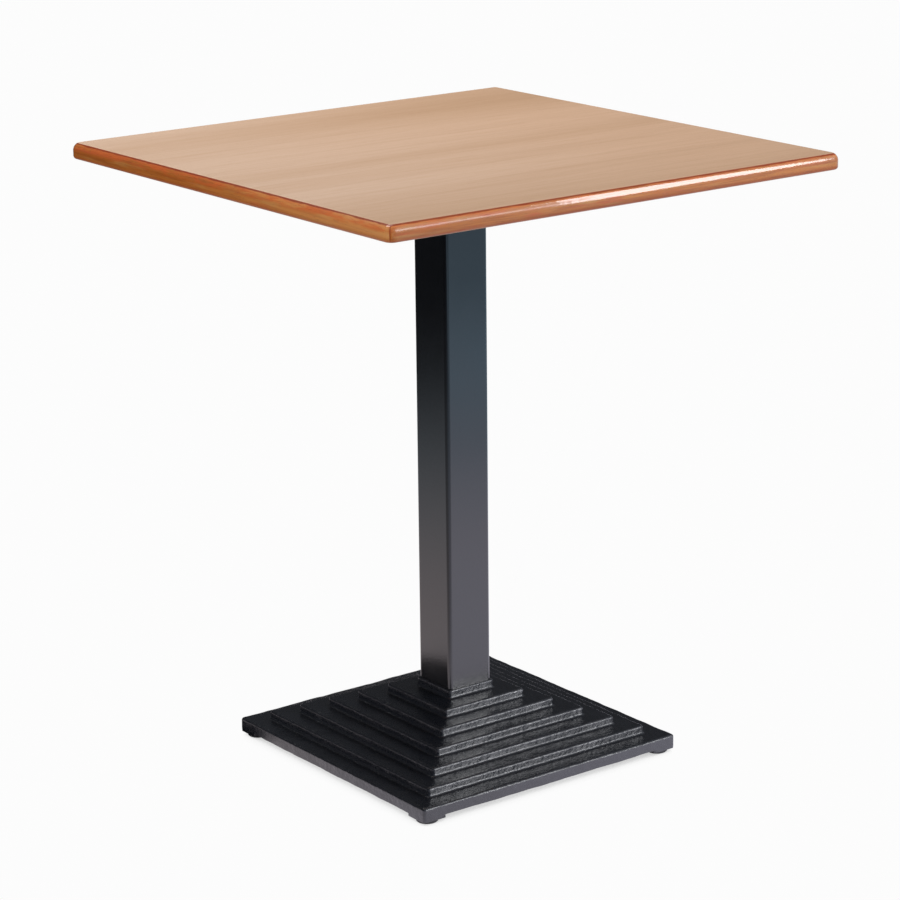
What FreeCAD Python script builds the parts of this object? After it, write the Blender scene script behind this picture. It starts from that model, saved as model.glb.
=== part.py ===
# Bistro table: a square board with solid-wood lippings, veneered over and rounded off, on a
# square steel column that a tie rod clamps between a cast-iron spider and a stepped cast base.
# A levelling foot is screwed into the cast lug at each corner of the base.
#
# Units are millimetres. The origin is on the floor under the centre of the column,
# with +Z up and the sides of the top parallel to X and Y. "Front" is -Y and "left" is -X.
import FreeCAD, Part
import math
import os

from FreeCAD import Vector

# ---- driving dimensions ----
TABLE_HEIGHT = 750.0
TOP_SIDE = 650.0
TOP_THICKNESS = 20.0
BASE_SIDE = 385.0
COLUMN_SIDE = 63.5

# ---- table top ----
VENEER = 0.8  # face and backing sheets, glued over the core and the lippings
LIPPING_WIDTH = 12.0
LIPPING_TOP_RADIUS = 9.5
LIPPING_BOTTOM_RADIUS = 4.0
TOP_CORNER_RADIUS = 10.5
UNDERSIDE = TABLE_HEIGHT - TOP_THICKNESS
INNER_HALF = TOP_SIDE / 2 - LIPPING_WIDTH

# ---- column ----
TUBE_WALL = 2.5
TUBE_CORNER_RADIUS = 5.0
TUBE_BORE = COLUMN_SIDE - 2 * TUBE_WALL
BORE_CORNER_RADIUS = TUBE_CORNER_RADIUS - TUBE_WALL
SPIGOT_SIDE = TUBE_BORE - 0.5  # slides into either end of the tube
SPIGOT_HEIGHT = 12.0
SPIGOT_CORNER_RADIUS = BORE_CORNER_RADIUS + 0.5
SPIGOT_CHAMFER = 1.0

# ---- base casting ----
STEPS = 6  # above the rim
SOLE_HEIGHT = 4.0
LUG_GAP = 0.5  # between a levelling sole and the lug above it
LUG_BOTTOM = SOLE_HEIGHT + LUG_GAP
LUG_HEIGHT = 3.5
LUG_SIDE = 31.0
RIM_BOTTOM = LUG_BOTTOM + LUG_HEIGHT
RIM_HEIGHT = 14.0
RIM_TOP = RIM_BOTTOM + RIM_HEIGHT
STEP_RISE = 10.6
COLLAR_SIDE = COLUMN_SIDE + 4.5  # the highest step, a ledge round the foot of the column
STEP_RUN = (BASE_SIDE - COLLAR_SIDE) / 2 / STEPS
BASE_TOP = RIM_TOP + STEPS * STEP_RISE
STEP_CORNER_RADIUS = 3.5
STEP_EDGE_RADIUS = 3.0
STEP_ROOT_RADIUS = 3.0
COLLAR_EDGE_RADIUS = 2.0
CASTING_WALL = 7.0
CASTING_SKIN = 6.0
HOLLOW_CORNER_RADIUS = 1.0
BOSS_SIDE = 62.0
BOSS_BOTTOM = 36.0
BOSS_CORNER_RADIUS = 6.0
RIB_THICKNESS = 6.0
RIB_LIFT = 4.0  # from the rim or the boss up to the lower edge of a rib

# ---- spider under the top ----
SPIDER_REACH = 165.0  # centre to the tip of an arm
SPIDER_PLATE = 6.0
SPIDER_HUB_SIDE = 76.0
SPIDER_HUB_HEIGHT = 20.0
SPIDER_HUB_CORNER_RADIUS = 6.0
SPIDER_HUB_EDGE_RADIUS = 2.0
SPIDER_HUB_BOTTOM = UNDERSIDE - SPIDER_HUB_HEIGHT
ARM_ROOT_WIDTH = 40.0
ARM_TIP_WIDTH = 28.0
ARM_RIB_WIDTH = 8.0
ARM_RIB_LIFT = 2.0  # above the bottom of the hub
NUT_POCKET_RADIUS = 16.0
NUT_POCKET_DEPTH = 14.0
SCREW_RADII_FROM_CENTRE = (88.0, 151.0)

# ---- threads and hexagons ----
THREAD_DEPTH = 0.6  # of the pitch
THREAD_CREST = 0.15  # of the pitch
HEXAGON_BEVEL = 0.6

# ---- M12 tie rod, nuts and washers ----
ROD_RADIUS = 6.0
ROD_HOLE_RADIUS = 6.5
ROD_PITCH = 1.75
NUT_HEIGHT = 10.0
NUT_FLATS = 18.0
WASHER_HEIGHT = 2.5
TOP_WASHER_RADIUS = 12.0
BASE_WASHER_RADIUS = 18.5
ROD_TAIL = 4.5  # below the lower nut
ROD_NOSE = 1.0  # above the upper nut
ROD_POINT = 1.0  # plain end beyond the thread
ROD_THREADED = 34.0

# ---- wood screws ----
SCREW_LENGTH = 20.0
SCREW_RADIUS = 2.5
SCREW_HEAD_RADIUS = 5.0
SCREW_HEAD_HEIGHT = 3.0
SCREW_HEAD_FLAT_RADIUS = 3.2
SCREW_HEAD_BULGE_RADIUS = 4.4
SCREW_POINT = 4.0
SCREW_SLOT_WIDTH = 0.9
SCREW_SLOT_REACH = 2.6
SCREW_SLOT_DEPTH = 1.7
SCREW_SEAT_MARGIN = 3.0  # clear of the head, where an arm's rib is cut away
SCREW_HOLE_RADIUS = 2.8

# ---- levelling feet: M8 stud with its head trapped in a nylon sole ----
FOOT_PLACE = BASE_SIDE / 2 - LUG_SIDE / 2
SOLE_RADIUS = 13.0
SOLE_BEVEL = 1.0
STUD_RADIUS = 4.0
STUD_PITCH = 1.25
STUD_HOLE_RADIUS = STUD_RADIUS + 0.05
STUD_TOP = 17.5
STUD_POINT = 0.7  # plain end beyond the thread
STUD_NECK = 0.5  # plain shank between the hexagon and the thread
STUD_HEX_FLATS = 13.0
STUD_HEX_BOTTOM = SOLE_HEIGHT + 0.05
STUD_HEX_HEIGHT = 3.0
STUD_HEAD_RADIUS = 7.0
STUD_HEAD_BOTTOM = 1.25
STUD_HEAD_HEIGHT = 1.4
HEAD_CLEARANCE = 0.05
SOLE_MOUTH_RADIUS = 4.6
HEX_POCKET_RADIUS = 8.75
HEX_POCKET_TOP = LUG_BOTTOM + 3.5
STUD_HOLE_TOP = 18.5

SIDES = {"front": 0, "right": 90, "back": 180, "left": 270}  # degrees about +Z from the front
CORNERS = {
    "front_left": (-1, -1),
    "front_right": (1, -1),
    "back_right": (1, 1),
    "back_left": (-1, 1),
}
UP = Vector(0, 0, 1)
ORIGIN = Vector(0, 0, 0)


# ---- building blocks ----
def cylinder(radius, bottom, top, x=0.0, y=0.0):
    """A vertical cylinder between two heights."""
    return Part.makeCylinder(radius, top - bottom, Vector(x, y, bottom))


def block(x_low, x_high, y_low, y_high, z_low, z_high):
    """A box given by its limits."""
    size = (x_high - x_low, y_high - y_low, z_high - z_low)
    return Part.makeBox(*size, Vector(x_low, y_low, z_low))


def square_prism(side, bottom, top, corner_radius=0.0):
    """A square prism centred on the column, with rounded upright edges."""
    half = side / 2
    prism = block(-half, half, -half, half, bottom, top)
    if corner_radius > 0:
        upright = [e for e in prism.Edges if e.BoundBox.ZLength > (top - bottom) / 2]
        prism = prism.makeFillet(corner_radius, upright)
    return prism


def hexagon_prism(flats, bottom, top):
    """A hexagonal prism of the given width across flats, with bevelled corners as on a real nut."""
    reach = flats / math.sqrt(3)
    points = [
        Vector(reach * math.cos(math.radians(a)), reach * math.sin(math.radians(a)), bottom)
        for a in range(0, 361, 60)
    ]
    prism = Part.Face(Part.makePolygon(points)).extrude(Vector(0, 0, top - bottom))
    outline = [(0, bottom), (flats / 2, bottom), (reach, bottom + HEXAGON_BEVEL)]
    outline += [(reach, top - HEXAGON_BEVEL), (flats / 2, top), (0, top)]
    return prism.common(revolved(outline))


def revolved(outline):
    """Turns a closed (radius, height) outline about the Z axis."""
    points = [Vector(r, 0, z) for r, z in outline]
    face = Part.Face(Part.makePolygon(points + [points[0]]))
    return face.revolve(ORIGIN, UP, 360)


def core_radius(radius, pitch):
    """The radius at the root of a thread."""
    return radius - THREAD_DEPTH * pitch


def threaded_outline(radius, pitch, start, end):
    """The (radius, height) points of a run of thread, drawn as rings from start up to end."""
    turns = int((end - start) / pitch)
    points = []
    for turn in range(turns):
        foot = start + turn * pitch
        crest_end = foot + THREAD_CREST * pitch
        root = (crest_end + foot + pitch) / 2
        points += [(radius, foot), (radius, crest_end)]
        points.append((core_radius(radius, pitch), root))
    return points + [(radius, start + turns * pitch)]


def edges_at(shape, height, reach):
    """The level edges at a height whose furthest point in X or Y is at reach."""
    found = []
    for edge in shape.Edges:
        box = edge.BoundBox
        span = max(abs(box.XMin), abs(box.XMax), abs(box.YMin), abs(box.YMax))
        if box.ZLength < 0.01 and abs(box.ZMin - height) < 0.01 and abs(span - reach) < 0.02:
            found.append(edge)
    return found


def turned_about_column(shape, degrees):
    """A copy of a shape, turned about the column's axis."""
    copy = shape.copy()
    copy.rotate(ORIGIN, UP, degrees)
    return copy


def save(name, shape):
    """Writes one node's STEP file."""
    shape.exportStep(os.path.join("parts", name + ".step"))


# ---- table top ----
def screw_places():
    """Where the spider's screws stand: two on each diagonal arm."""
    places = []
    for sx, sy in CORNERS.values():
        for reach in SCREW_RADII_FROM_CENTRE:
            places.append((sx * reach / math.sqrt(2), sy * reach / math.sqrt(2)))
    return places


def drilled_for_screws(sheet, radius, bottom, top):
    """Cuts a round hole at each screw."""
    for x, y in screw_places():
        sheet = sheet.cut(cylinder(radius, bottom, top, x, y))
    return sheet


def top_core():
    """The board inside the top, with pilot holes for the spider's screws."""
    core = square_prism(2 * INNER_HALF, UNDERSIDE + VENEER, TABLE_HEIGHT - VENEER)
    pilot_top = UNDERSIDE - SPIDER_PLATE + SCREW_LENGTH
    return drilled_for_screws(core, SCREW_RADIUS, UNDERSIDE, pilot_top)


def rounded_slab(bottom, top):
    """A level slice of the whole top, whose edge is rounded over above and below."""
    slab = square_prism(TOP_SIDE, UNDERSIDE, TABLE_HEIGHT, TOP_CORNER_RADIUS)
    slab = slab.makeFillet(LIPPING_TOP_RADIUS, edges_at(slab, TABLE_HEIGHT, TOP_SIDE / 2))
    slab = slab.makeFillet(LIPPING_BOTTOM_RADIUS, edges_at(slab, UNDERSIDE, TOP_SIDE / 2))
    return slab.common(square_prism(TOP_SIDE + 2, bottom, top))


def top_veneer():
    """The face sheet, laid over the lippings and rounded off with them."""
    return rounded_slab(TABLE_HEIGHT - VENEER, TABLE_HEIGHT + 1)


def underside_veneer():
    """The backing sheet, drilled for the spider's screws."""
    sheet = rounded_slab(UNDERSIDE - 1, UNDERSIDE + VENEER)
    return drilled_for_screws(sheet, SCREW_RADIUS, UNDERSIDE - 1, UNDERSIDE + VENEER + 1)


def edge_lipping():
    """The front lipping: rounded above and below, with both ends cut to a mitre."""
    frame = rounded_slab(UNDERSIDE + VENEER, TABLE_HEIGHT - VENEER)
    frame = frame.cut(square_prism(2 * INNER_HALF, UNDERSIDE - 1, TABLE_HEIGHT + 1))
    past = TOP_SIDE
    corners = [Vector(0, 0, 0), Vector(-past, -past, 0), Vector(past, -past, 0), Vector(0, 0, 0)]
    wedge = Part.Face(Part.makePolygon(corners)).extrude(Vector(0, 0, TABLE_HEIGHT + 1))
    return frame.common(wedge)


# ---- base casting ----
def step_half(level):
    """Half the side of a step; level 0 is the rim."""
    return BASE_SIDE / 2 - level * STEP_RUN


def step_top(level):
    """The height of a step's tread above the floor."""
    return RIM_TOP + level * STEP_RISE


def stepped_pyramid(inset, drop, levels, corner_radius):
    """The stepped form, shrunk sideways by inset and lowered by drop, standing on RIM_BOTTOM."""
    solid = None
    for level in range(levels):
        side = 2 * (step_half(level) - inset)
        prism = square_prism(side, RIM_BOTTOM, step_top(level) - drop, corner_radius)
        solid = prism if solid is None else solid.fuse(prism)
    return solid.removeSplitter()


def pyramid_outside():
    """The outside of the casting, with rounded step edges and roots."""
    solid = stepped_pyramid(0, 0, STEPS + 1, STEP_CORNER_RADIUS)
    roots = []
    crests = []
    for level in range(STEPS):
        roots += edges_at(solid, step_top(level), step_half(level + 1))
    solid = solid.makeFillet(STEP_ROOT_RADIUS, roots)
    for level in range(STEPS):
        crests += edges_at(solid, step_top(level), step_half(level))
    solid = solid.makeFillet(STEP_EDGE_RADIUS, crests)
    return solid.makeFillet(COLLAR_EDGE_RADIUS, edges_at(solid, BASE_TOP, COLLAR_SIDE / 2))


def corner_lugs():
    """A square foot under each corner of the rim, flush with its outer faces."""
    rim = square_prism(BASE_SIDE, LUG_BOTTOM, RIM_TOP - CASTING_SKIN / 2, STEP_CORNER_RADIUS)
    outer = BASE_SIDE / 2
    inner = outer - LUG_SIDE
    lugs = []
    for sx, sy in CORNERS.values():
        xs = sorted((sx * inner, sx * outer))
        ys = sorted((sy * inner, sy * outer))
        lugs.append(rim.common(block(*xs, *ys, LUG_BOTTOM, RIM_TOP)))
    return lugs


def diagonal_ribs():
    """Two crossed webs that tie the centre boss to the corner lugs, before trimming to the shell."""
    root = BOSS_SIDE / 2
    tip = (BASE_SIDE / 2 - LUG_SIDE / 2) * math.sqrt(2)
    outline = [
        Vector(-tip, 0, RIM_BOTTOM + RIB_LIFT),
        Vector(-root, 0, BOSS_BOTTOM + RIB_LIFT),
        Vector(root, 0, BOSS_BOTTOM + RIB_LIFT),
        Vector(tip, 0, RIM_BOTTOM + RIB_LIFT),
        Vector(tip, 0, BASE_TOP),
        Vector(-tip, 0, BASE_TOP),
    ]
    face = Part.Face(Part.makePolygon(outline + [outline[0]]))
    face.translate(Vector(0, -RIB_THICKNESS / 2, 0))
    web = face.extrude(Vector(0, RIB_THICKNESS, 0))
    return turned_about_column(web, 45).fuse(turned_about_column(web, 135))


def spigot(bottom, top, chamfered_end):
    """The square plug that locates one end of the tube."""
    plug = square_prism(SPIGOT_SIDE, bottom, top, SPIGOT_CORNER_RADIUS)
    return plug.makeChamfer(SPIGOT_CHAMFER, edges_at(plug, chamfered_end, SPIGOT_SIDE / 2))


def base_casting():
    """The hollow stepped base, with its boss, ribs, lugs, spigot and holes."""
    hollow = stepped_pyramid(CASTING_WALL, CASTING_SKIN, STEPS, HOLLOW_CORNER_RADIUS)
    mouth_side = BASE_SIDE - 2 * CASTING_WALL
    mouth = square_prism(mouth_side, RIM_BOTTOM - 1, RIM_BOTTOM + 1, HOLLOW_CORNER_RADIUS)
    casting = pyramid_outside().cut(hollow).cut(mouth)
    mid_shell = stepped_pyramid(CASTING_WALL / 2, CASTING_SKIN / 2, STEPS, HOLLOW_CORNER_RADIUS)
    boss = square_prism(BOSS_SIDE, BOSS_BOTTOM, BASE_TOP - STEP_RISE, BOSS_CORNER_RADIUS)
    casting = casting.fuse(diagonal_ribs().common(mid_shell)).fuse(boss)
    for lug in corner_lugs():
        casting = casting.fuse(lug)
    spigot_top = BASE_TOP + SPIGOT_HEIGHT
    casting = casting.fuse(spigot(BASE_TOP - 1, spigot_top, spigot_top)).removeSplitter()
    casting = casting.cut(cylinder(ROD_HOLE_RADIUS, 0, spigot_top + 1))
    for sx, sy in CORNERS.values():
        x = sx * FOOT_PLACE
        y = sy * FOOT_PLACE
        casting = casting.cut(cylinder(STUD_HOLE_RADIUS, 0, STUD_HOLE_TOP, x, y))
        casting = casting.cut(cylinder(HEX_POCKET_RADIUS, 0, HEX_POCKET_TOP, x, y))
    return casting


# ---- column and its clamping parts ----
def column_tube():
    """The square tube between the base and the spider's hub."""
    outside = square_prism(COLUMN_SIDE, BASE_TOP, SPIDER_HUB_BOTTOM, TUBE_CORNER_RADIUS)
    inside = square_prism(TUBE_BORE, BASE_TOP - 1, SPIDER_HUB_BOTTOM + 1, BORE_CORNER_RADIUS)
    return outside.cut(inside)


def spider_arm():
    """One arm along +X: a tapered plate with a round tip and a stiffening rib below."""
    tip_centre = SPIDER_REACH - ARM_TIP_WIDTH / 2
    plate_bottom = UNDERSIDE - SPIDER_PLATE
    outline = [
        Vector(0, -ARM_ROOT_WIDTH / 2, plate_bottom),
        Vector(tip_centre, -ARM_TIP_WIDTH / 2, plate_bottom),
        Vector(tip_centre, ARM_TIP_WIDTH / 2, plate_bottom),
        Vector(0, ARM_ROOT_WIDTH / 2, plate_bottom),
    ]
    face = Part.Face(Part.makePolygon(outline + [outline[0]]))
    plate = face.extrude(Vector(0, 0, SPIDER_PLATE))
    plate = plate.fuse(cylinder(ARM_TIP_WIDTH / 2, plate_bottom, UNDERSIDE, tip_centre))
    seat_radius = SCREW_HEAD_RADIUS + SCREW_SEAT_MARGIN
    inner_screw, outer_screw = SCREW_RADII_FROM_CENTRE
    rib_end = outer_screw - seat_radius
    rib_bottom = SPIDER_HUB_BOTTOM + ARM_RIB_LIFT
    rib = [
        Vector(0, -ARM_RIB_WIDTH / 2, rib_bottom),
        Vector(SPIDER_HUB_SIDE / 2, -ARM_RIB_WIDTH / 2, rib_bottom),
        Vector(rib_end, -ARM_RIB_WIDTH / 2, plate_bottom),
        Vector(0, -ARM_RIB_WIDTH / 2, plate_bottom),
    ]
    web = Part.Face(Part.makePolygon(rib + [rib[0]])).extrude(Vector(0, ARM_RIB_WIDTH, 0))
    seat = cylinder(seat_radius, SPIDER_HUB_BOTTOM, plate_bottom, inner_screw)
    return plate.fuse(web.cut(seat))


def mounting_spider():
    """The cast cross that the top is screwed to, with a pocket for the upper nut."""
    spider = square_prism(SPIDER_HUB_SIDE, SPIDER_HUB_BOTTOM, UNDERSIDE, SPIDER_HUB_CORNER_RADIUS)
    lower_edges = edges_at(spider, SPIDER_HUB_BOTTOM, SPIDER_HUB_SIDE / 2)
    spider = spider.makeFillet(SPIDER_HUB_EDGE_RADIUS, lower_edges)
    for degrees in (45, 135, 225, 315):
        spider = spider.fuse(turned_about_column(spider_arm(), degrees))
    bottom = SPIDER_HUB_BOTTOM - SPIGOT_HEIGHT
    spider = spider.fuse(spigot(bottom, SPIDER_HUB_BOTTOM + 1, bottom)).removeSplitter()
    spider = spider.cut(cylinder(ROD_HOLE_RADIUS, bottom - 1, UNDERSIDE + 1))
    spider = spider.cut(cylinder(NUT_POCKET_RADIUS, UNDERSIDE - NUT_POCKET_DEPTH, UNDERSIDE + 1))
    return drilled_for_screws(spider, SCREW_HOLE_RADIUS, SPIDER_HUB_BOTTOM, UNDERSIDE + 1)


def spider_screws():
    """Pan-head wood screws with a cross slot, driven up into the core."""
    under_head = UNDERSIDE - SPIDER_PLATE
    low = under_head - SCREW_HEAD_HEIGHT
    tip = under_head + SCREW_LENGTH
    outline = [(0, low), (SCREW_HEAD_FLAT_RADIUS, low)]
    outline += [(SCREW_HEAD_BULGE_RADIUS, low + SCREW_HEAD_HEIGHT / 5)]
    outline += [(SCREW_HEAD_RADIUS, low + 3 * SCREW_HEAD_HEIGHT / 5)]
    outline += [(SCREW_HEAD_RADIUS, under_head), (SCREW_RADIUS, under_head)]
    outline += [(SCREW_RADIUS, tip - SCREW_POINT), (0, tip)]
    screw = revolved(outline)
    half = SCREW_SLOT_WIDTH / 2
    reach = SCREW_SLOT_REACH
    for degrees in (0, 90):
        slot = block(-reach, reach, -half, half, low - 1, low + SCREW_SLOT_DEPTH)
        slot.rotate(ORIGIN, UP, degrees)
        screw = screw.cut(slot)
    placed = []
    for x, y in screw_places():
        copy = screw.copy()
        copy.translate(Vector(x, y, 0))
        placed.append(copy)
    return Part.makeCompound(placed)


def tie_rod():
    """The threaded rod down the middle of the column."""
    bottom = BOSS_BOTTOM - WASHER_HEIGHT - NUT_HEIGHT - ROD_TAIL
    top = UNDERSIDE - NUT_POCKET_DEPTH + WASHER_HEIGHT + NUT_HEIGHT + ROD_NOSE
    core = core_radius(ROD_RADIUS, ROD_PITCH)
    low = bottom + ROD_POINT
    high = top - ROD_POINT
    lower = threaded_outline(ROD_RADIUS, ROD_PITCH, low, low + ROD_THREADED)
    upper = threaded_outline(ROD_RADIUS, ROD_PITCH, high - ROD_THREADED, high)
    outline = [(0, bottom), (core, bottom)] + lower + upper + [(core, top), (0, top)]
    return revolved(outline)


def washer(outer_radius, bottom):
    """A flat washer on the tie rod."""
    ring = cylinder(outer_radius, bottom, bottom + WASHER_HEIGHT)
    return ring.cut(cylinder(ROD_HOLE_RADIUS, bottom - 1, bottom + WASHER_HEIGHT + 1))


def nut(bottom):
    """A hexagon nut on the tie rod."""
    solid = hexagon_prism(NUT_FLATS, bottom, bottom + NUT_HEIGHT)
    return solid.cut(cylinder(ROD_RADIUS, bottom - 1, bottom + NUT_HEIGHT + 1))


# ---- levelling feet ----
def levelling_stud():
    """A stud with rings of thread, a spanner hexagon and a flat head below it."""
    head_top = STUD_HEAD_BOTTOM + STUD_HEAD_HEIGHT
    hex_top = STUD_HEX_BOTTOM + STUD_HEX_HEIGHT
    core = core_radius(STUD_RADIUS, STUD_PITCH)
    thread = threaded_outline(STUD_RADIUS, STUD_PITCH, hex_top + STUD_NECK, STUD_TOP - STUD_POINT)
    outline = [(0, STUD_HEAD_BOTTOM), (STUD_HEAD_RADIUS, STUD_HEAD_BOTTOM)]
    outline += [(STUD_HEAD_RADIUS, head_top), (STUD_RADIUS, head_top)] + thread
    outline += [(core, STUD_TOP), (0, STUD_TOP)]
    return revolved(outline).fuse(hexagon_prism(STUD_HEX_FLATS, STUD_HEX_BOTTOM, hex_top))


def levelling_sole():
    """A round nylon sole with the cavity that holds the stud's head."""
    cavity_radius = STUD_HEAD_RADIUS + HEAD_CLEARANCE
    cavity_bottom = STUD_HEAD_BOTTOM - HEAD_CLEARANCE
    cavity_top = STUD_HEAD_BOTTOM + STUD_HEAD_HEIGHT + HEAD_CLEARANCE
    flat_radius = SOLE_RADIUS - SOLE_BEVEL
    outline = [(0, 0), (flat_radius, 0), (SOLE_RADIUS, SOLE_BEVEL)]
    outline += [(SOLE_RADIUS, SOLE_HEIGHT - SOLE_BEVEL), (flat_radius, SOLE_HEIGHT)]
    outline += [(SOLE_MOUTH_RADIUS, SOLE_HEIGHT)]
    outline += [(SOLE_MOUTH_RADIUS, cavity_top), (cavity_radius, cavity_top)]
    outline += [(cavity_radius, cavity_bottom), (0, cavity_bottom)]
    return revolved(outline)


def main():
    os.makedirs("parts", exist_ok=True)
    save("top_core", top_core())
    save("top_veneer", top_veneer())
    save("underside_veneer", underside_veneer())
    for side, degrees in SIDES.items():
        save("edge_lipping_" + side, turned_about_column(edge_lipping(), degrees))
    save("mounting_spider", mounting_spider())
    save("spider_screws", spider_screws())
    save("column_tube", column_tube())
    save("base_casting", base_casting())
    save("tie_rod", tie_rod())
    pocket_floor = UNDERSIDE - NUT_POCKET_DEPTH
    save("tie_rod_top_washer", washer(TOP_WASHER_RADIUS, pocket_floor))
    save("tie_rod_top_nut", nut(pocket_floor + WASHER_HEIGHT))
    save("tie_rod_base_washer", washer(BASE_WASHER_RADIUS, BOSS_BOTTOM - WASHER_HEIGHT))
    save("tie_rod_base_nut", nut(BOSS_BOTTOM - WASHER_HEIGHT - NUT_HEIGHT))
    for corner, (sx, sy) in CORNERS.items():
        place = Vector(sx * FOOT_PLACE, sy * FOOT_PLACE, 0)
        for kind, shape in (("stud", levelling_stud()), ("sole", levelling_sole())):
            shape.translate(place)
            save("levelling_" + kind + "_" + corner, shape)


main()
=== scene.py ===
import math

import bmesh
import bpy
from mathutils import Matrix, Vector, noise


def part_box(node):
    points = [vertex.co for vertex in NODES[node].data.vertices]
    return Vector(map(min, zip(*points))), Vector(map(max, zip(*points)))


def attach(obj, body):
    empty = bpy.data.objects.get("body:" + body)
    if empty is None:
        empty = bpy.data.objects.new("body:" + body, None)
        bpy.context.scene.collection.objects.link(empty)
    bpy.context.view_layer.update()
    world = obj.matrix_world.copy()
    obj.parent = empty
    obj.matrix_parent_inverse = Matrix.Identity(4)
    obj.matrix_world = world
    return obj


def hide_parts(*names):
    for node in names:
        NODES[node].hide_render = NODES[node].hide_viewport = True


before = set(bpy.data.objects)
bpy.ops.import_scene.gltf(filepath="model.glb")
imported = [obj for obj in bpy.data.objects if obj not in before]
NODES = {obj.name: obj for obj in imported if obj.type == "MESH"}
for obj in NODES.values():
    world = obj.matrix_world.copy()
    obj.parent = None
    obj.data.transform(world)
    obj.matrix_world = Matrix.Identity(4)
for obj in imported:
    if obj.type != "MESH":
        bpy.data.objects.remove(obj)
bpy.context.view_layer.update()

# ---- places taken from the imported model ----
LIPPING_LOW, LIPPING_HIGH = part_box("edge_lipping_front")
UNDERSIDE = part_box("underside_veneer")[0].z
COLUMN_LOW, COLUMN_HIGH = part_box("column_tube")
FEET = [name for name in NODES if name.startswith("levelling_sole")]
LUG_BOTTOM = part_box("base_casting")[0].z


# ---- node materials ----
class Graph:
    """A material or a world under construction: each call adds one shader node."""

    def __init__(self, owner, output="OutputMaterial"):
        owner.use_nodes = True
        self.owner = owner
        self.tree = owner.node_tree
        self.tree.nodes.clear()
        self.output = self.add(output)
        coordinates = self.add("TexCoord")
        self.place = coordinates.outputs["Object"]
        self.normal = coordinates.outputs["Normal"]
        self.direction = coordinates.outputs["Generated"]  # in a world only

    def add(self, kind, inputs=None, **settings):
        node = self.tree.nodes.new("ShaderNode" + kind)
        for key, value in settings.items():
            setattr(node, key, value)
        for key, value in (inputs or {}).items():
            self.feed(node.inputs[key], value)
        return node

    def feed(self, socket, value):
        if isinstance(value, bpy.types.NodeSocket):
            self.tree.links.new(value, socket)
        else:
            socket.default_value = value

    def math(self, operation, *values):
        node = self.add("Math", operation=operation)
        for socket, value in zip(node.inputs, values):
            self.feed(socket, value)
        return node.outputs[0]

    def vector(self, operation, *values):
        node = self.add("VectorMath", operation=operation)
        for socket, value in zip(node.inputs, values):
            self.feed(socket, value)
        return node.outputs["Value" if operation in ("DISTANCE", "DOT_PRODUCT") else "Vector"]

    def noise(self, vector, scale=1.0, detail=3.0, roughness=0.5):
        inputs = {"Vector": vector, "Scale": scale, "Detail": detail, "Roughness": roughness}
        return self.add("TexNoise", inputs).outputs["Fac"]

    def remap(self, value, low, high, new_low=0.0, new_high=1.0):
        node = self.add("MapRange", interpolation_type="SMOOTHSTEP")
        for socket, number in zip(node.inputs, (value, low, high, new_low, new_high)):
            self.feed(socket, number)
        return node.outputs[0]

    def mix(self, share, first, second, blend="MIX"):
        node = self.add("Mix", data_type="RGBA", blend_type=blend)
        self.feed(node.inputs["Factor"], share)
        first_colour, second_colour = node.inputs[6:8]
        self.feed(first_colour, first)
        self.feed(second_colour, second)
        return node.outputs[2]

    def bump(self, height, distance, normal=None):
        inputs = {"Height": height, "Distance": distance}
        if normal is not None:
            inputs["Normal"] = normal
        return self.add("Bump", inputs).outputs["Normal"]

    def axes(self):
        node = self.add("SeparateXYZ", {"Vector": self.place})
        return node.outputs[0], node.outputs[1], node.outputs[2]

    def facing_up(self):
        """How far the surface looks upwards: 1 on a level face, 0 on an upright one."""
        return self.add("SeparateXYZ", {"Vector": self.normal}).outputs[2]

    def surface(self, **inputs):
        named = {key.replace("_", " "): value for key, value in inputs.items()}
        return self.finish(self.add("BsdfPrincipled", named))

    def finish(self, shader):
        self.tree.links.new(shader.outputs[0], self.output.inputs["Surface"])
        return self.owner


def new_material(name):
    return Graph(bpy.data.materials.new(name))


def colour(red, green, blue):
    return (red, green, blue, 1.0)


class Grain:
    """Wood figure drawn out along one axis (0 for X, 1 for Y), as noise values between 0 and 1."""

    def __init__(self, graph, along):
        self.graph = graph
        self.along = along
        wander = graph.noise(self.drawn(graph.place, 1.3, 4.0), detail=2.0)
        shift = graph.vector("SCALE", (0.02, 0.02, 0.02))
        graph.feed(shift.node.inputs["Scale"], wander)
        bent = graph.vector("ADD", graph.place, shift)
        self.bands = graph.noise(self.drawn(bent, 0.9, 14.0), detail=3.0)
        self.stripes = graph.noise(self.drawn(bent, 2.2, 75.0), detail=4.0)
        self.lines = graph.noise(self.drawn(bent, 14.0, 520.0), detail=2.0)
        self.pores = graph.noise(self.drawn(graph.place, 110.0, 2300.0), detail=1.0)

    def drawn(self, place, along_scale, cross_scale):
        scales = [cross_scale] * 3
        scales[self.along] = along_scale
        return self.graph.vector("MULTIPLY", place, scales)


# darker bands across the top: place in Y, half width, strength at the left and right ends. The first two
# are leaves of the veneer; the last, along the front edge, is painted shade.
LEAVES_AND_FRONT_SHADE = ((-0.020, 0.030, 0.24, 0.24), (0.230, 0.150, 0.12, 0.50), (-0.320, 0.190, 0.50, 0.16))


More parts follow.
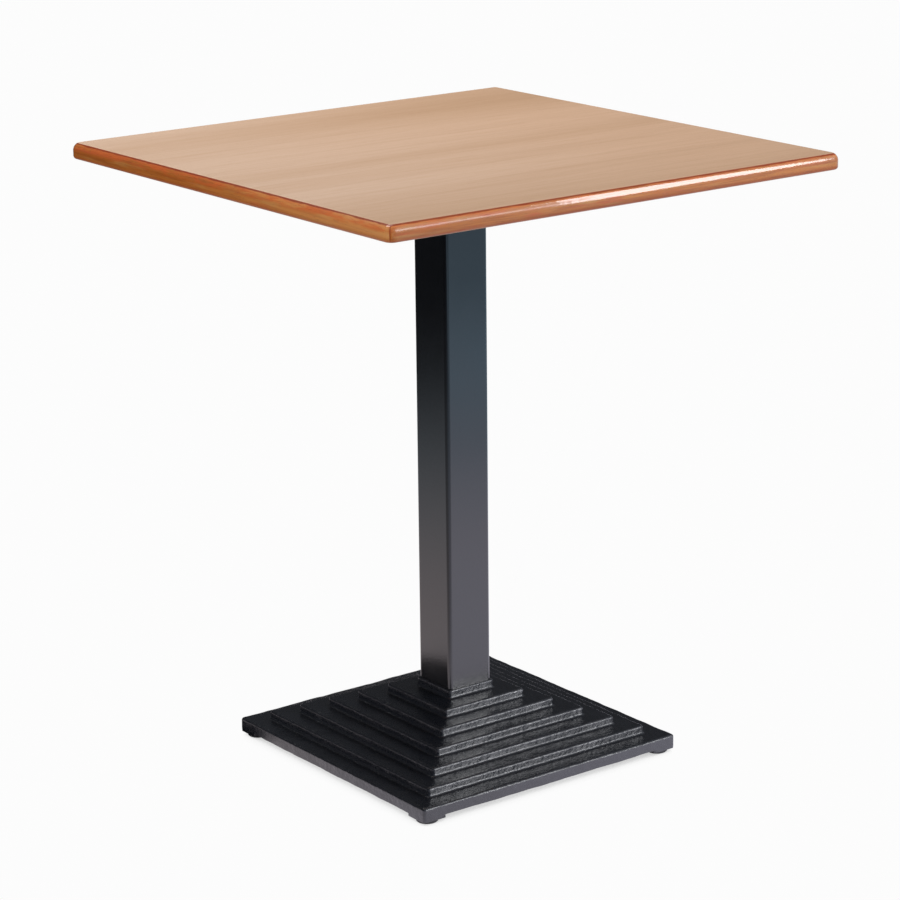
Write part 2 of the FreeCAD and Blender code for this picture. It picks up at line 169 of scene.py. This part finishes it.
def face_veneer():
    graph = new_material("face_veneer")
    grain = Grain(graph, 0)
    x, y, _ = graph.axes()
    rosy = colour(0.610, 0.430, 0.308)
    tawny = colour(0.605, 0.394, 0.258)
    tone = graph.mix(graph.remap(x, -0.34, 0.34), rosy, tawny)
    tone = graph.mix(graph.remap(grain.bands, 0.35, 0.68, 0.0, 0.30), tone, colour(0.50, 0.315, 0.195))
    tone = graph.mix(graph.remap(grain.stripes, 0.42, 0.72, 0.0, 0.24), tone, colour(0.46, 0.280, 0.170))
    tone = graph.mix(graph.remap(grain.lines, 0.50, 0.74, 0.0, 0.22), tone, colour(0.44, 0.258, 0.150))
    for centre, width, left_share, right_share in LEAVES_AND_FRONT_SHADE:
        reach = graph.math("ABSOLUTE", graph.math("SUBTRACT", y, centre))
        dark_band = graph.remap(reach, 0.0, width, 1.0, 0.0)
        share = graph.remap(x, -0.3, 0.3, left_share, right_share)
        # the last band paints shade over the front of the top
        tone = graph.mix(graph.math("MULTIPLY", dark_band, share), tone, colour(0.44, 0.262, 0.145))
    pores = graph.remap(grain.pores, 0.62, 0.72)
    tone = graph.mix(graph.math("MULTIPLY", pores, 0.22), tone, colour(0.25, 0.14, 0.08))
    normal = graph.bump(graph.math("MULTIPLY", pores, -1.0), 0.00005)
    roughness = graph.remap(grain.lines, 0.3, 0.7, 0.44, 0.54)
    return graph.surface(Base_Color=tone, Roughness=roughness, Specular_IOR_Level=0.05, Normal=normal)


def lipping_tone(graph, grain, along):
    """Colour before the dark joints and the painted shade: striped, redder near the top, and along Y
    turning golden to the front.
    """
    _, y, z = graph.axes()
    tone = graph.mix(graph.remap(grain.stripes, 0.35, 0.65),
                     colour(0.50, 0.180, 0.035), colour(0.36, 0.110, 0.016))
    tone = graph.mix(graph.remap(grain.lines, 0.46, 0.70, 0.0, 0.55), tone, colour(0.25, 0.062, 0.011))
    red_patches = graph.noise(grain.drawn(graph.place, 16.0, 120.0), detail=2.0)
    tone = graph.mix(graph.remap(red_patches, 0.56, 0.70, 0.0, 0.55), tone, colour(0.42, 0.075, 0.020))
    pale_patches = graph.noise(grain.drawn(graph.place, 11.0, 160.0), detail=3.0)
    tone = graph.mix(graph.remap(pale_patches, 0.52, 0.68, 0.0, 0.50), tone, colour(0.47, 0.245, 0.075))
    if along == 1:
        tone = graph.mix(graph.remap(y, -0.32, 0.10, 0.60, 0.0), tone, colour(0.60, 0.29, 0.105))
    flame = graph.noise(grain.drawn(graph.place, 26.0, 150.0), detail=3.0)
    reddest = 0.70 if along == 1 else 0.45
    height = graph.remap(z, LIPPING_HIGH.z - 0.0115, LIPPING_HIGH.z - 0.0045, 0.05, reddest)
    reddened = graph.math("MULTIPLY", height, graph.remap(flame, 0.38, 0.58, 0.15, 1.0))
    return graph.mix(reddened, tone, colour(0.49, 0.090, 0.020))


def lipping_stain_and_shade(graph, grain):
    """How dark the lipping is made: most along the veneer joint and in the corner mitres, with painted
    shade at the lower edge.
    """
    x, y, z = graph.axes()
    ragged = graph.noise(grain.drawn(graph.place, 45.0, 300.0), detail=2.0)
    joint_low = graph.math("ADD", LIPPING_HIGH.z - 0.0028, graph.math("MULTIPLY", ragged, 0.0022))
    below = graph.math("SUBTRACT", z, joint_low)
    joint = graph.remap(below, 0.0, 0.0007, 0.0, 0.90)
    # painted shade along the lower edge of the lipping
    painted_lower_shade = graph.remap(z, LIPPING_LOW.z + 0.0005, LIPPING_LOW.z + 0.0070, 0.62, 0.0)
    across = graph.math("ABSOLUTE", x)
    depth = graph.math("ABSOLUTE", y)
    mitre_gap = graph.math("ABSOLUTE", graph.math("SUBTRACT", across, depth))
    mitre = graph.remap(mitre_gap, 0.0004, 0.0013, 0.80, 0.0)
    return graph.math("MAXIMUM", graph.math("MAXIMUM", joint, mitre), painted_lower_shade)


def lipping_wood(along):
    """Varnished hardwood, with its grain along X (0) or Y (1), dark at its joints, and with painted
    shade along its lower edge.
    """
    graph = new_material("lipping_wood_x" if along == 0 else "lipping_wood_y")
    grain = Grain(graph, along)
    stain_and_shade = lipping_stain_and_shade(graph, grain)
    tone = lipping_tone(graph, grain, along)
    # dark joints and mitres, and painted shade at the lower edge
    tone = graph.mix(stain_and_shade, tone, colour(0.205, 0.028, 0.006))
    pores = graph.remap(grain.pores, 0.62, 0.72)
    tone = graph.mix(graph.math("MULTIPLY", pores, 0.35), tone, colour(0.12, 0.03, 0.008))
    normal = graph.bump(graph.math("MULTIPLY", pores, -1.0), 0.00006)
    varnish = graph.bump(graph.noise(graph.place, scale=60.0, detail=2.0), 0.00015)
    coat = graph.remap(stain_and_shade, 0.1, 0.7, 1.0, 0.10)
    return graph.surface(Base_Color=tone, Roughness=0.40, Specular_IOR_Level=0.25, Normal=normal,
                         Coat_Weight=coat, Coat_Roughness=0.07, Coat_Normal=varnish)


def plain_wood(name, light, dark):
    """Unseen board and backing sheet: the same figure, left dull."""
    graph = new_material(name)
    grain = Grain(graph, 0)
    tone = graph.mix(graph.remap(grain.stripes, 0.35, 0.65), light, dark)
    tone = graph.mix(graph.remap(grain.lines, 0.5, 0.7, 0.0, 0.4), tone, dark)
    normal = graph.bump(grain.lines, 0.00005)
    roughness = graph.remap(grain.stripes, 0.3, 0.7, 0.5, 0.62)
    return graph.surface(Base_Color=tone, Roughness=roughness, Normal=normal)


def powder_coat():
    """Black gloss coat on the tube, with a faint orange peel."""
    graph = new_material("column_powder_coat")
    peel = graph.noise(graph.place, scale=420.0, detail=1.0)
    cloud = graph.noise(graph.place, scale=11.0, detail=3.0)
    tone = graph.mix(cloud, colour(0.0020, 0.0022, 0.0030), colour(0.0040, 0.0045, 0.0060))
    normal = graph.bump(peel, 0.00003)
    roughness = graph.remap(cloud, 0.3, 0.7, 0.13, 0.18)
    return graph.surface(Base_Color=tone, Roughness=roughness, Normal=normal, IOR=1.75)


def cast_paint(name):
    """The same paint over sand-cast iron: grit and lumps break the gloss, and edges are scuffed dull."""
    graph = new_material(name)
    grit = graph.noise(graph.place, scale=700.0, detail=3.0, roughness=0.6)
    lumps = graph.noise(graph.place, scale=210.0, detail=2.0)
    wear = graph.noise(graph.place, scale=35.0, detail=4.0)
    tone = graph.mix(wear, colour(0.0030, 0.0038, 0.0060), colour(0.0070, 0.0085, 0.0125))
    coarse = graph.bump(lumps, 0.0007)
    normal = graph.bump(grit, 0.00010, normal=coarse)
    upward = graph.facing_up()
    not_upright = graph.remap(upward, 0.15, 0.35)
    not_level = graph.remap(upward, 0.80, 0.96, 1.0, 0.0)
    edge = graph.math("MULTIPLY", not_upright, not_level)
    roughness = graph.remap(grit, 0.35, 0.65, 0.24, 0.36)
    roughness = graph.math("MAXIMUM", roughness, graph.math("MULTIPLY", edge, 0.38))
    gloss = graph.remap(edge, 0.0, 1.0, 0.5, 0.34)
    return graph.surface(Base_Color=tone, Roughness=roughness, Specular_IOR_Level=gloss, Normal=normal,
                         IOR=1.75)


def zinc():
    graph = new_material("zinc_hardware")
    cloud = graph.noise(graph.place, scale=260.0, detail=4.0)
    tone = graph.mix(cloud, colour(0.50, 0.50, 0.47), colour(0.66, 0.65, 0.60))
    roughness = graph.remap(cloud, 0.3, 0.7, 0.26, 0.45)
    normal = graph.bump(cloud, 0.00003)
    return graph.surface(Base_Color=tone, Metallic=1.0, Roughness=roughness, Normal=normal)


def nylon():
    graph = new_material("sole_nylon")
    grain = graph.noise(graph.place, scale=1500.0, detail=2.0)
    scuff = graph.noise(graph.place, scale=140.0, detail=4.0)
    scuffed = graph.remap(scuff, 0.55, 0.75)
    tone = graph.mix(scuffed, colour(0.016, 0.016, 0.017), colour(0.06, 0.06, 0.058))
    normal = graph.bump(grain, 0.00004)
    return graph.surface(Base_Color=tone, Roughness=0.52, Normal=normal)


def paint(material, *names):
    """Puts one material on every slot of the named objects."""
    for name in names:
        mesh = bpy.data.objects[name].data
        mesh.materials.clear()
        mesh.materials.append(material)


# ---- castings ----
CAST_CELL = 0.004
SAND_LUMPS = ((22.0, 0.00060), (60.0, 0.00042), (150.0, 0.00018))  # (lumps per metre, height)
BASE_WASHER_SEAT = 0.021  # radii that stay smooth
NUT_POCKET = 0.017
FOOT_BORE = 0.011
SEAT_BLEND = 0.003  # the lumps grow to their full height over this distance from a seat


def cut_finer(mesh, cell):
    """Cuts a mesh along a grid of planes, so that no face is wider than one cell."""
    for axis in range(3):
        places = [vertex.co[axis] for vertex in mesh.verts]
        low = min(places)
        span = max(places) - low
        cells = math.ceil(span / cell)
        for step in range(1, cells):
            point = Vector()
            point[axis] = low + span * step / cells
            normal = Vector()
            normal[axis] = 1.0
            everything = mesh.verts[:] + mesh.edges[:] + mesh.faces[:]
            bmesh.ops.bisect_plane(mesh, geom=everything, dist=0.00002, plane_co=point, plane_no=normal)


def sand_height(place):
    """How far sand left the iron proud at a place."""
    height = 0.0
    for scale, share in SAND_LUMPS:
        height += share * noise.noise(place * scale)
    return height


def rough_share(place, low, high, bores):
    """1 on cast skin, 0 on seats below low or above high and inside the bores (x, y, radius)."""
    if place.z < low or place.z > high:
        return 0.0
    share = 1.0
    for x, y, radius in bores:
        gap = math.hypot(place.x - x, place.y - y) - radius
        share = min(share, max(0.0, gap / SEAT_BLEND))
    return share


def sand_cast(name, node, slot, low, high, bores):
    """Stands for a packed casting: the same shape, with the uneven skin of a sand mould."""
    mesh = bmesh.new()
    mesh.from_mesh(NODES[node].data)
    bmesh.ops.remove_doubles(mesh, verts=mesh.verts, dist=0.000001)
    bmesh.ops.dissolve_limit(mesh, angle_limit=math.radians(0.2), verts=mesh.verts, edges=mesh.edges)
    cut_finer(mesh, CAST_CELL)
    bmesh.ops.triangulate(mesh, faces=[face for face in mesh.faces if len(face.verts) > 4])
    mesh.normal_update()
    moves = []
    for vertex in mesh.verts:
        share = rough_share(vertex.co, low, high, bores)
        moves.append(share * sand_height(vertex.co) * vertex.normal)
    for vertex, move in zip(mesh.verts, moves):
        vertex.co += move
    data = bpy.data.meshes.new(name)
    mesh.to_mesh(data)
    mesh.free()
    data.shade_smooth()
    data.set_sharp_from_angle(angle=math.radians(35))
    piece = bpy.data.objects.new(name, data)
    bpy.context.scene.collection.objects.link(piece)
    piece.modifiers.new("even_shading", "WEIGHTED_NORMAL").keep_sharp = True
    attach(piece, "table")
    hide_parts(node)
    paint(cast_paint(slot), name)


def castings():
    bores = [(0.0, 0.0, BASE_WASHER_SEAT)]
    for foot in FEET:
        corner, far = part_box(foot)
        centre = (corner + far) / 2
        bores.append((centre.x, centre.y, FOOT_BORE))
    low = LUG_BOTTOM + 0.0005
    high = COLUMN_LOW.z - 0.0002
    sand_cast("stepped_base", "base_casting", "base_paint", low, high, bores)
    bores = [(0.0, 0.0, NUT_POCKET)]
    low = COLUMN_HIGH.z + 0.0002
    high = UNDERSIDE - 0.0002
    sand_cast("top_spider", "mounting_spider", "spider_paint", low, high, bores)


def dress():
    paint(face_veneer(), "top_veneer")
    paint(lipping_wood(0), "edge_lipping_front", "edge_lipping_back")
    paint(lipping_wood(1), "edge_lipping_left", "edge_lipping_right")
    backing = plain_wood("backing_veneer", colour(0.47, 0.30, 0.17), colour(0.37, 0.22, 0.12))
    paint(backing, "underside_veneer")
    board = plain_wood("core_board", colour(0.45, 0.30, 0.18), colour(0.30, 0.19, 0.10))
    paint(board, "top_core")
    paint(powder_coat(), "column_tube")
    metal = zinc()
    plastic = nylon()
    for name in NODES:
        if name.startswith(("tie_rod", "spider_screws", "levelling_stud")):
            paint(metal, name)
        if name.startswith("levelling_sole"):
            paint(plastic, name)


# ---- studio ----
WHITE = 0.975
TO_RIGHT_FRONT = Vector((0.61, -0.79, 0.0))
TO_CAMERA = Vector((-0.80, -0.60, 0.0))
POOL_CENTRE = 0.2 * TO_RIGHT_FRONT
# centre of the painted shadow that the table mirrors at the back left of the base
PAINTED_SHADOW_CENTRE = (-0.17, 0.22, 0.0)
GLOW = Vector((0.58, -0.77, 0.26))
WINDOW = Vector((0.42, -0.86, 0.31))


def floor():
    """White paper that glows: the camera sees it evenly white with a painted contact shadow, while the
    table mirrors a painted pool of light and a painted shadow from the paper's own emission.

    From below it can be seen through, so that the underside of the table shows."""
    mesh = bpy.data.meshes.new("floor")
    half = 40.0
    corners = [(-half, -half, 0), (half, -half, 0), (half, half, 0), (-half, half, 0)]
    mesh.from_pydata(corners, [], [(0, 1, 2, 3)])
    ground = bpy.data.objects.new("floor", mesh)
    bpy.context.scene.collection.objects.link(ground)
    graph = new_material("floor_paper")
    # painted contact shadow: where the floor is occluded its emission is dimmed, lightly for the camera
    # and deeply in the table's reflections
    hidden = graph.add("AmbientOcclusion", {"Distance": 0.08}, samples=4).outputs["AO"]
    seen_shade = graph.remap(hidden, 0.0, 0.42, 0.50, 1.0)
    mirrored_shade = graph.remap(hidden, 0.0, 0.42, 0.05, 1.0)
    # painted pool of light: the floor's own emission, seen only in reflections and lighting the table,
    # brightest to the right front and fading with distance
    reach = graph.vector("DISTANCE", graph.place, POOL_CENTRE)
    rightward = graph.vector("DOT_PRODUCT", graph.place, TO_RIGHT_FRONT)
    cameraward = graph.vector("DOT_PRODUCT", graph.place, TO_CAMERA)
    pool = graph.remap(reach, 0.45, 2.45, 1.0, 0.02)
    pool = graph.math("MAXIMUM", pool, graph.remap(rightward, 0.6, 1.8, 0.0, 0.66))
    pool = graph.math("MULTIPLY", pool, graph.remap(rightward, 2.10, 2.40, 1.0, 0.6))
    pool = graph.math("MULTIPLY", pool, graph.remap(cameraward, 0.12, 0.60, 1.0, 0.55))
    # painted shadow at the back left of the base, cut out of the mirrored pool
    painted_shadow_reach = graph.vector("DISTANCE", graph.place, PAINTED_SHADOW_CENTRE)
    pool = graph.math("MULTIPLY", pool, graph.remap(painted_shadow_reach, 0.05, 0.095, 0.0, 1.0))
    # colour of the painted pool: warm near the table, bluer far off and to the right
    side = graph.remap(rightward, -0.4, 0.4)
    near = graph.mix(side, colour(0.96, 0.86, 0.89), colour(1.24, 1.21, 1.41))
    far = graph.mix(side, colour(0.83, 0.95, 1.06), colour(0.96, 1.38, 1.75))
    tint = graph.mix(graph.remap(reach, 0.7, 1.9), near, far)
    seen = graph.add("Emission", {"Strength": graph.math("MULTIPLY", seen_shade, WHITE)})
    strength = graph.math("MULTIPLY", mirrored_shade, pool)
    mirrored = graph.add("Emission", {"Color": tint, "Strength": strength})
    camera_ray = graph.add("LightPath").outputs["Is Camera Ray"]
    either = graph.add("MixShader", {0: camera_ray, 1: mirrored.outputs[0], 2: seen.outputs[0]})
    below = graph.add("NewGeometry").outputs["Backfacing"]
    clear = graph.add("BsdfTransparent")
    paper = graph.finish(graph.add("MixShader", {0: below, 1: either.outputs[0], 2: clear.outputs[0]}))
    paper.cycles.emission_sampling = "NONE"
    mesh.materials.append(paper)


def sky():
    """White to the camera; to the table a dim room that glows at the front right, with a window."""
    graph = Graph(bpy.data.worlds.new("studio"), "OutputWorld")
    to_glow = graph.vector("DOT_PRODUCT", graph.direction, GLOW.normalized())
    to_window = graph.vector("DOT_PRODUCT", graph.direction, WINDOW.normalized())
    glow = graph.remap(to_glow, -0.2, 0.95, 0.07, 0.5)
    window = graph.remap(to_window, 0.956, 0.982, 0.0, 5.0)
    level = graph.math("ADD", glow, window)
    room = graph.add("Background", {"Color": colour(0.86, 0.90, 1.0), "Strength": level})
    paper = graph.add("Background", {"Color": colour(1.0, 1.0, 1.0), "Strength": WHITE})
    camera_ray = graph.add("LightPath").outputs["Is Camera Ray"]
    either = graph.add("MixShader", {0: camera_ray, 1: room.outputs[0], 2: paper.outputs[0]})
    bpy.context.scene.world = graph.finish(either)


def softbox(name, place, long_axis, target, size, power, tint=(1, 1, 1), shape="RECTANGLE",
            mirrored=True):
    """A lamp that faces target, with its second side along long_axis."""
    light = bpy.data.lights.new(name, "AREA")
    light.shape = shape
    light.size, light.size_y = size
    light.energy = power
    light.color = tint
    lamp = bpy.data.objects.new(name, light)
    back = (Vector(place) - Vector(target)).normalized()
    side = Vector(long_axis).cross(back).normalized()
    up = back.cross(side)
    turn = Matrix((side, up, back)).transposed().to_4x4()
    lamp.matrix_world = Matrix.Translation(place) @ turn
    lamp.visible_camera = False
    lamp.visible_glossy = mirrored
    bpy.context.scene.collection.objects.link(lamp)
    return lamp


def flag(lamp, state, *names):
    """Does the work of a studio's black flags: the lamp lights only, or all but, the named objects."""
    flagged = bpy.data.collections.new(lamp.name + "_flag")
    for name in names:
        flagged.objects.link(bpy.data.objects[name])
    for link in flagged.collection_objects:
        link.light_linking.link_state = state
    lamp.light_linking.receiver_collection = flagged


def studio():
    floor()
    sky()
    centre = (0, 0, 0.6)
    upright = (0, 0, 1)
    strip = softbox("strip", place=(1.68, -1.85, 1.71), long_axis=(0, 0.52, 0.86),
                    target=(0.08, -0.3, 0.75), size=(0.5, 2.3), power=38, shape="ELLIPSE")
    flag(strip, "EXCLUDE", "top_veneer", "stepped_base")
    low_disc = softbox("low_disc", place=(1.25, -2.56, 0.95), long_axis=upright,
                       target=(0, 0, 0.03), size=(1.3, 1.3), power=50, shape="DISK")
    flag(low_disc, "INCLUDE", "stepped_base")
    softbox("overhead", place=(-0.3, 0.6, 2.9), long_axis=(0, 1, 0),
            target=centre, size=(1.6, 1.6), power=53.5)
    softbox("left_fill", place=(-2.6, -0.6, 0.42), long_axis=upright,
            target=centre, size=(1.6, 0.75), power=42, tint=(1.0, 0.96, 0.92), mirrored=False)
    softbox("right_fill", place=(1.6, -3.0, 0.42), long_axis=upright,
            target=centre, size=(1.6, 0.75), power=12, tint=(0.94, 0.97, 1.0), mirrored=False)
    bpy.context.scene.view_settings.view_transform = "Standard"


# ---- camera ----
CAMERA_PLACE = (-2.1352, -2.8232, 1.3843)
CAMERA_HEADING = math.radians(37.05)  # from +Y towards +X
CAMERA_TILT = math.radians(15.86)  # below the horizon
CAMERA_ROLL = math.radians(-0.64)
CAMERA_LENS = 121.4


def camera():
    data = bpy.data.cameras.new("camera")
    data.lens = CAMERA_LENS
    lens = bpy.data.objects.new("camera", data)
    turn = Matrix.Rotation(-CAMERA_HEADING, 4, "Z")
    tilt = Matrix.Rotation(math.pi / 2 - CAMERA_TILT, 4, "X")
    roll = Matrix.Rotation(CAMERA_ROLL, 4, "Z")
    lens.matrix_world = Matrix.Translation(CAMERA_PLACE) @ turn @ tilt @ roll
    bpy.context.scene.collection.objects.link(lens)
    bpy.context.scene.camera = lens


castings()
dress()
studio()
camera()
